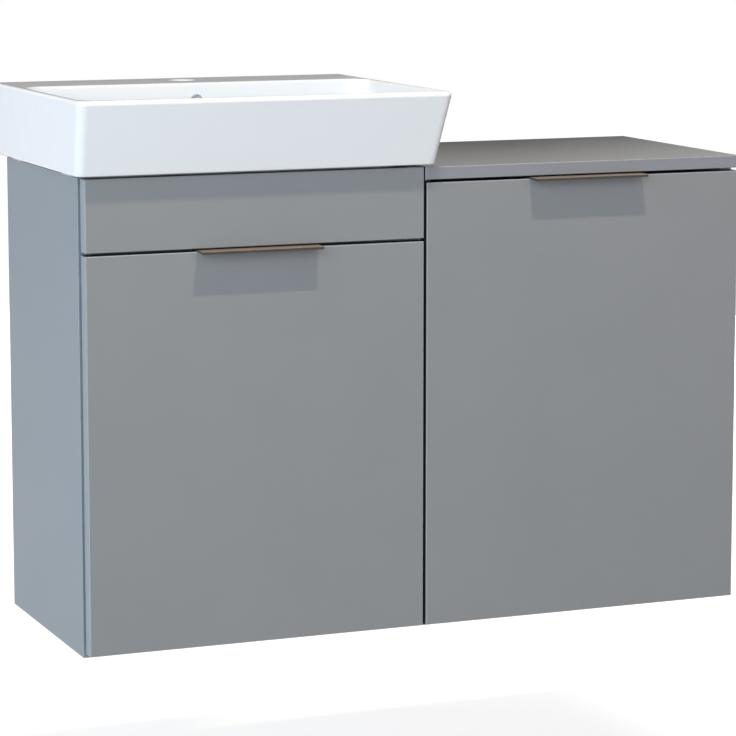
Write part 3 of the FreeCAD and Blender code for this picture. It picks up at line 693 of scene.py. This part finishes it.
# %% Grids to meshes
def grid_piece(name, grids, material, body, crease=40):
    """One piece from copies of a grid, shaped (copies, rows, columns, 3), whose columns close into rings."""
    copies, rows, columns = grids.shape[:3]
    index = np.arange(rows * columns).reshape(rows, columns)
    beside = np.roll(index, -1, axis=1)
    quads = np.stack([index[:-1], beside[:-1], beside[1:], index[1:]], axis=-1).reshape(-1, 4)
    quads = (quads[None] + rows * columns * np.arange(copies)[:, None, None]).reshape(-1, 4)
    mesh = bpy.data.meshes.new(name)
    mesh.from_pydata(grids.reshape(-1, 3), [], quads)
    shell = bmesh.new()
    shell.from_mesh(mesh)
    bmesh.ops.remove_doubles(shell, verts=shell.verts, dist=1e-7)
    shell.to_mesh(mesh)
    shell.free()
    mesh.shade_smooth()
    mesh.set_sharp_from_angle(angle=np.radians(crease))
    mesh.materials.append(material)
    piece = bpy.data.objects.new(name, mesh)
    scene.collection.objects.link(piece)
    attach(piece, body)
    print(f"{name}: {copies} copies, {len(mesh.polygons)} faces, rides {body}")
    return piece


GOLDEN_ANGLE = np.radians(137.5)


def stood_on(grid, places, outward):
    """Copies of a grid whose own Z turns to an outward direction, each turned by the golden angle from the
    last, so that no two crosses line up."""
    places = np.atleast_2d(places)
    n = np.array(outward, float)
    t = np.roll(n, 1)
    b = np.cross(n, t)
    turn = np.arange(len(places)) * GOLDEN_ANGLE
    across = np.cos(turn)[:, None] * t + np.sin(turn)[:, None] * b
    along = np.cross(n, across)
    axes = np.stack([across, along, np.broadcast_to(n, across.shape)], axis=1)
    return np.einsum("rcj,kji->krci", grid, axes) + places[:, None, None, :]


# %% [markdown]
# ## Screws and cam discs
# Pan-head screws hold the handles, the drawer front, the hinge leaves, the stays, the bin, the angles and
# the hanger housings, and round cam discs lock the boards. A head could be turned and its cross cut out, but
# a height over a round grid gives both in one formula, and every copy is the same grid stood on another
# face.


# %% Heads
def cross_head(radius, height, arm, depth, flatness=4, rings=11, spokes=40):
    """A round head: the height falls off with a power of the way from the middle, less a cross of two sunk
    bars. Each bar sinks with a steep slope from its nearer edge, down to its full depth."""
    bar_slimness, wall_slope, edge_drop = 0.24, 2.5, 0.6
    u = np.linspace(0, 1, rings)[:, None]
    a = np.linspace(0, 2 * np.pi, spokes, endpoint=False)[None]
    x, y = radius * u * np.cos(a), radius * u * np.sin(a)
    half = arm * bar_slimness
    bar_x = np.minimum(half - abs(y), arm - abs(x))
    bar_y = np.minimum(half - abs(x), arm - abs(y))
    sunk = np.clip(np.maximum(bar_x, bar_y) * wall_slope, 0, depth)
    z = height * (1 - edge_drop * u**flatness) - sunk
    top = np.stack([x, y, np.broadcast_to(z, x.shape)], axis=-1)
    skirt = top[-1:] * [1, 1, 0]
    return np.concatenate([top, skirt, skirt * 0])


PAN = cross_head(radius=0.0038, height=0.0019, arm=0.0022, depth=0.0011)
SMALL = cross_head(radius=0.0030, height=0.0012, arm=0.0017, depth=0.0008)
CAM = cross_head(radius=0.0075, height=0.0004, arm=0.0040, depth=0.0004, flatness=12)
print("points in a head:", PAN.shape[0] * PAN.shape[1])

# %% [markdown]
# The heads sit on the faces of the solids, so the places along a face's normal are read from the solids'
# boxes, and only the places on the face are given. Where a plate is folded, its thickness is added to the
# box's end.


# %% Screws that move
MM = 1000


def spots(xs, ys, zs):
    """Every combination of these places, given in millimetres, in metres."""
    return np.stack(np.meshgrid(xs, ys, zs, indexing="ij"), axis=-1).reshape(-1, 3) / MM


def face(node, axis, side):
    """Where a solid's box ends along an axis, in millimetres: side 0 is its low end and 1 its high end."""
    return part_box(node)[side][axis] * MM


TO_ROOM, TO_WALL, TO_RIGHT, TO_LEFT, DOWN = (0, -1, 0), (0, 1, 0), (1, 0, 0), (-1, 0, 0), (0, 0, -1)
LEAF_X = np.linspace(62, 388, 6)
LEAF_THICK, STAY_THICK, BIN_THICK, ANGLE_THICK = 1, 2, 2.5, 2
FLANGE_DROP = 13
flange = face("drawer_handle", 1, 1)
sub_front = face("drawer_sub_front", 1, 1)
drawer_screws = [
    stood_on(PAN, spots((-350, -100), (sub_front,), (90, 190)), TO_WALL),
    stood_on(PAN, spots((-285, -165), (flange,), (face("drawer_handle", 2, 1) - FLANGE_DROP,)), TO_WALL),
]
grid_piece("drawer_screws", np.concatenate(drawer_screws), zinc, "drawer")
leaf_y = face("hinge_leaf_moving", 1, 0) + LEAF_THICK
stay_y = face("stay_inner", 1, 0) + STAY_THICK
bin_y = face("laundry_bin", 1, 0) + BIN_THICK
flap_screws = [
    stood_on(PAN, spots((165, 285), (flange,), (face("laundry_handle", 2, 1) - FLANGE_DROP,)), TO_WALL),
    stood_on(SMALL, spots(LEAF_X, (leaf_y,), (21,)), TO_WALL),
    stood_on(PAN, spots((33.5, 416.5), (stay_y,), (152, 194)), TO_WALL),
    stood_on(PAN, spots((115, 335), (bin_y,), (110, 430)), TO_WALL),
]
grid_piece("laundry_front_screws", np.concatenate(flap_screws), zinc, "laundry_flap")

# %% Cabinet screws and cams
angle_z = (face("fixed_panel_brackets", 2, 0) + face("fixed_panel_brackets", 2, 1)) / 2
angle_left = face("fixed_panel_brackets", 0, 0) + ANGLE_THICK
angle_right = face("fixed_panel_brackets", 0, 1) - ANGLE_THICK
angle_front = face("fixed_panel_brackets", 1, 0) + ANGLE_THICK
leaf_y = face("hinge_leaf_fixed", 1, 1) - LEAF_THICK
cabinet_screws = [
    stood_on(SMALL, spots(LEAF_X, (leaf_y,), (10.8,)), TO_ROOM),
    stood_on(PAN, spots((angle_left,), (-297,), (angle_z,)), TO_RIGHT),
    stood_on(PAN, spots((angle_right,), (-297,), (angle_z,)), TO_LEFT),
    stood_on(PAN, spots((-411, -39), (angle_front,), (angle_z,)), TO_WALL),
    stood_on(PAN, spots((-426, -24, 24, 426), (face("hanger_housings", 1, 0),), (526, 552)), TO_ROOM),
]
grid_piece("cabinet_screws", np.concatenate(cabinet_screws), zinc, "cabinets")
rail_front = face("left_rear_rail_upper", 1, 0)
cams = [
    stood_on(CAM, spots((-410, -40, 40, 410), (-158,), (0,)), DOWN),
    stood_on(CAM, spots((-410, -40), (rail_front,), (61, 445)), TO_ROOM),
]
grid_piece("cam_discs", np.concatenate(cams), zinc, "cabinets")

# %% [markdown]
# ## Ball cages
# Between the members of each slide runs a cage: a thin strip of steel that keeps a row of balls apart. In
# the solids it is a plain strip. Here the strip is an eased bar and the balls sit in it, so that the open
# drawer shows a real slide.


# %% Bars and balls
def eased_bar(half, ease, steps=4):
    """A box with rounded edges, as a small ball pushed apart: each point of the ball moves outwards by the
    half size less the easing, with the sign of its direction. Rows run from pole to pole, and columns go
    round."""
    quarter = np.linspace(0, np.pi / 2, steps)
    turn = (quarter[None] + np.arange(4)[:, None] * np.pi / 2).ravel()
    sign_x = np.repeat([1, -1, -1, 1], steps)
    sign_y = np.repeat([1, 1, -1, -1], steps)
    tilt = np.concatenate([np.pi / 2 - quarter, -quarter])[:, None]
    sign_z = np.repeat([1, -1], steps)[:, None]
    core = np.array(half) - ease
    x = sign_x * core[0] + ease * np.cos(tilt) * np.cos(turn)
    y = sign_y * core[1] + ease * np.cos(tilt) * np.sin(turn)
    z = np.broadcast_to(sign_z * core[2] + ease * np.sin(tilt), x.shape)
    grid = np.stack([x, y, z], axis=-1)
    return np.concatenate([grid[:1] * [0, 0, 1], grid, grid[-1:] * [0, 0, 1]])


def ball(radius, rows=9, columns=12):
    """A ball by height and turn: the ring at each height is as wide as the cosine of its tilt."""
    tilt = np.linspace(np.pi / 2, -np.pi / 2, rows)[:, None]
    turn = np.linspace(0, 2 * np.pi, columns, endpoint=False)[None]
    ring = radius * np.cos(tilt)
    z = np.broadcast_to(radius * np.sin(tilt), (rows, columns))
    return np.stack([ring * np.cos(turn), ring * np.sin(turn), z], axis=-1)


BAR = eased_bar(half=(0.0016, 0.0405, 0.0005), ease=0.0004)
BALL = ball(radius=0.00155)
print("points in a bar and a ball:", BAR.shape[0] * BAR.shape[1], BALL.shape[0] * BALL.shape[1])

# %% Cages in the slides
# Each slide has an outer and an inner race above its middle, and the same two below it.
STRIP_IN, OUTER_RACE, INNER_RACE = 1.8, 1.6, 6.2
BALL_ROW = np.linspace(-36, 36, 7)
low, high = (np.array(corner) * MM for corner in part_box("slide_bearing_strips"))
strip_x = (low[0] + STRIP_IN, high[0] - STRIP_IN)
_, middle_y, middle_z = (low + high) / 2
race_z = np.array([high[2] - OUTER_RACE - middle_z, high[2] - INNER_RACE - middle_z])
race_z = middle_z + np.concatenate([race_z, -race_z])
cage_places = spots(strip_x, (middle_y,), race_z)
bars = BAR[None] + cage_places[:, None, None, :]
cages = grid_piece("ball_cages", bars, zinc_drawn, "slide_middle")
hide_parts("slide_bearing_strips")
ball_places = spots(strip_x, middle_y + BALL_ROW, race_z)
balls = BALL[None] + ball_places[:, None, None, :]
grid_piece("slide_balls", balls, zinc, "slide_middle", crease=80)
